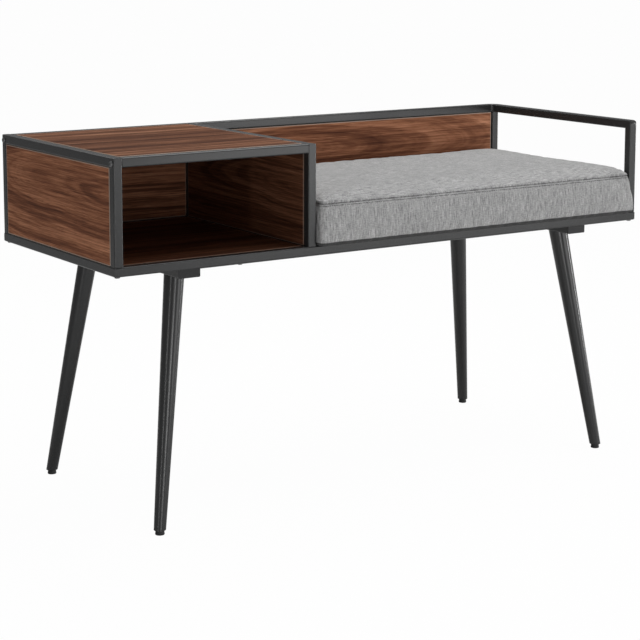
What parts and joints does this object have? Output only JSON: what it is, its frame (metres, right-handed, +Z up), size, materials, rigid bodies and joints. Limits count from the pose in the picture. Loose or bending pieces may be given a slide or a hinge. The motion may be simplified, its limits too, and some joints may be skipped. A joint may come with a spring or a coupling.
{
  "type": "telephone bench",
  "caption": "Bench with a cushioned seat beside an open cubby with a phone shelf on top, square tube frame with one arm, wood panels, and splayed tapered legs on levelling feet.",
  "frame": {"origin": "on the floor, at the centre of the bench's length and depth", "axes": "+X along the length, from the cubby end to the arm end, +Y to the back, +Z up"},
  "size_m": [1.1204, 0.4453, 0.632],
  "materials": {
    "frame_coat": "satin powder coat",
    "walnut_laminate": "satin walnut laminate",
    "seat_board_wood": "bare board",
    "grey_cloth": "plain woven upholstery",
    "black_screws": "black oxide",
    "zinc_steel": "zinc plated",
    "black_plastic": "matt"
  },
  "bodies": {
    "bench": {"base_front_rail": "frame_coat", "base_back_rail": "frame_coat", "base_left_rail": "frame_coat", "base_right_rail": "frame_coat", "base_middle_rail": "frame_coat", "left_front_post": "frame_coat", "left_back_post": "frame_coat", "left_top_rail": "frame_coat", "cubby_front_top_rail": "frame_coat", "divider_front_post": "frame_coat", "divider_back_post": "frame_coat", "divider_top_rail": "frame_coat", "back_right_post": "frame_coat", "back_and_arm_tube": "frame_coat", "arm_front_post": "frame_coat", "left_crossbar": "frame_coat", "right_crossbar": "frame_coat", "front_stretcher": "frame_coat", "back_stretcher": "frame_coat", "panel_tabs": "frame_coat", "legs": "frame_coat", "top_panel": "walnut_laminate", "floor_panel": "walnut_laminate", "side_panel": "walnut_laminate", "divider_panel": "walnut_laminate", "cubby_back_panel": "walnut_laminate", "backrest_panel": "walnut_laminate", "seat_board": "seat_board_wood", "seat_cushion": "grey_cloth", "base_bolts": "black_screws", "top_corner_bolts": "black_screws", "threaded_blocks": "zinc_steel", "crossbar_caps": "black_plastic", "leg_end_plugs": "black_plastic"},
    "front_left_foot": {"front_left_foot_pad": "black_plastic", "front_left_foot_stud": "zinc_steel"},
    "back_left_foot": {"back_left_foot_pad": "black_plastic", "back_left_foot_stud": "zinc_steel"},
    "front_right_foot": {"front_right_foot_pad": "black_plastic", "front_right_foot_stud": "zinc_steel"},
    "back_right_foot": {"back_right_foot_pad": "black_plastic", "back_right_foot_stud": "zinc_steel"}
  },
  "joints": [
    {"name": "front_left_foot_adjust", "type": "slide", "parent": "bench", "child": "front_left_foot", "axis": [0, 0, -1], "range_m": [0, 0.008]},
    {"name": "back_left_foot_adjust", "type": "slide", "parent": "bench", "child": "back_left_foot", "axis": [0, 0, -1], "range_m": [0, 0.008]},
    {"name": "front_right_foot_adjust", "type": "slide", "parent": "bench", "child": "front_right_foot", "axis": [0, 0, -1], "range_m": [0, 0.008]},
    {"name": "back_right_foot_adjust", "type": "slide", "parent": "bench", "child": "back_right_foot", "axis": [0, 0, -1], "range_m": [0, 0.008]}
  ]
}
